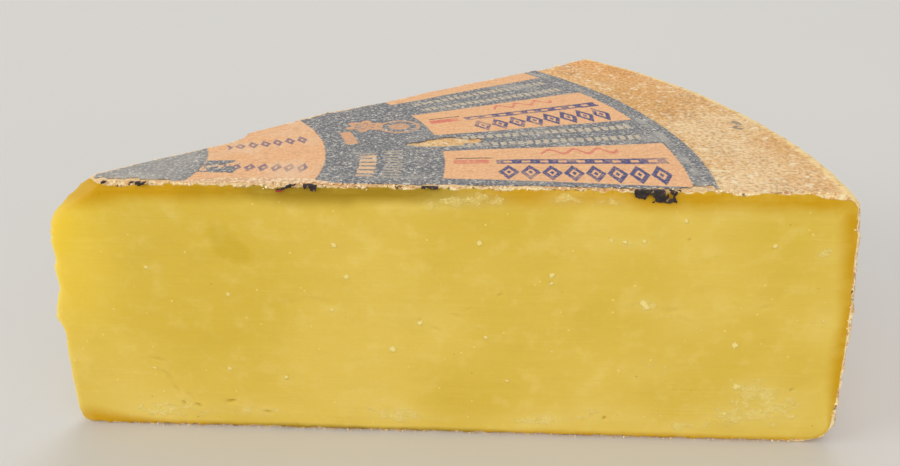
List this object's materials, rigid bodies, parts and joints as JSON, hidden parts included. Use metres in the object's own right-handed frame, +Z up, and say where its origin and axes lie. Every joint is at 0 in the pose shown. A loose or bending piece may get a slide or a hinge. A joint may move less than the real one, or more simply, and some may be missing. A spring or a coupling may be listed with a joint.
{
  "type": "cheese wedge",
  "caption": "Wedge cut from a large wheel of hard Alpine cheese: waxy yellow cut faces, grainy tan rind and heel, and a dark printed paper label over the middle of the top.",
  "frame": {"origin": "on the surface the wedge rests on, under the middle of the box that holds the wedge", "axes": "+X along the near cut face from the nose to the heel, +Y from the near cut face towards the far corner, +Z up from the underside to the labelled top"},
  "size_m": [0.3148, 0.2336, 0.1101],
  "materials": {
    "cheese": "waxy, faintly translucent butter-yellow paste on the cut faces, dry grainy tan rind on the top, heel and underside",
    "label": "matt printed paper grown into the rind, charcoal with ochre panels and pale flecks where the rind shows through"
  },
  "bodies": {
    "root": {"cheese_wedge": "cheese", "top_label": "label"}
  },
  "joints": []
}
